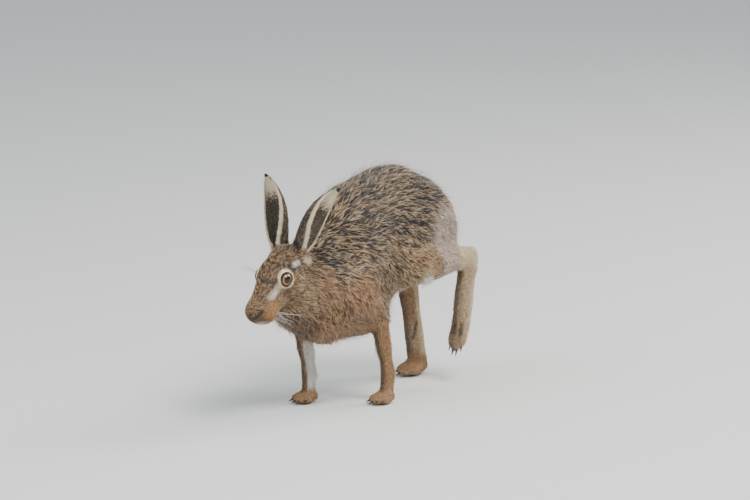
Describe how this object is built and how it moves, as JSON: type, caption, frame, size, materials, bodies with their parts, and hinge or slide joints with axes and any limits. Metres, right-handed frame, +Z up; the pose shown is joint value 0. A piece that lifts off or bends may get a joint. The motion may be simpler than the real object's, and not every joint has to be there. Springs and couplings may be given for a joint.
{
  "type": "brown hare",
  "caption": "Life-size brown hare in a slow lope, head low, back arched, long ears up, three feet down and one hind foot lifted.",
  "frame": {"origin": "middle of the whole box, on the floor", "axes": "+Z up, the nose towards -Y, +X the animal's left"},
  "size_m": [0.1656, 0.461, 0.3095],
  "materials": {
    "claw": "horn",
    "ear": "fur",
    "eye": "wet amber iris round a black pupil",
    "forearm": "fur",
    "forepaw": "fur",
    "head": "fur",
    "hind_foot": "fur",
    "neck": "fur",
    "shank": "fur",
    "tail": "fur",
    "thigh": "fur",
    "torso": "fur",
    "upper_arm": "fur"
  },
  "bodies": {
    "root": {"claw_forepaw_left_1": "claw", "claw_forepaw_left_2": "claw", "claw_forepaw_left_3": "claw", "claw_forepaw_left_4": "claw", "claw_forepaw_right_1": "claw", "claw_forepaw_right_2": "claw", "claw_forepaw_right_3": "claw", "claw_forepaw_right_4": "claw", "claw_hind_foot_left_1": "claw", "claw_hind_foot_left_2": "claw", "claw_hind_foot_left_3": "claw", "claw_hind_foot_left_4": "claw", "claw_hind_foot_right_1": "claw", "claw_hind_foot_right_2": "claw", "claw_hind_foot_right_3": "claw", "claw_hind_foot_right_4": "claw", "ear_left": "ear", "ear_right": "ear", "eye_left": "eye", "eye_right": "eye", "forearm_left": "forearm", "forearm_right": "forearm", "forepaw_left": "forepaw", "forepaw_right": "forepaw", "head": "head", "hind_foot_left": "hind_foot", "hind_foot_right": "hind_foot", "neck": "neck", "shank_left": "shank", "shank_right": "shank", "tail": "tail", "thigh_left": "thigh", "thigh_right": "thigh", "torso": "torso", "upper_arm_left": "upper_arm", "upper_arm_right": "upper_arm"}
  },
  "joints": []
}
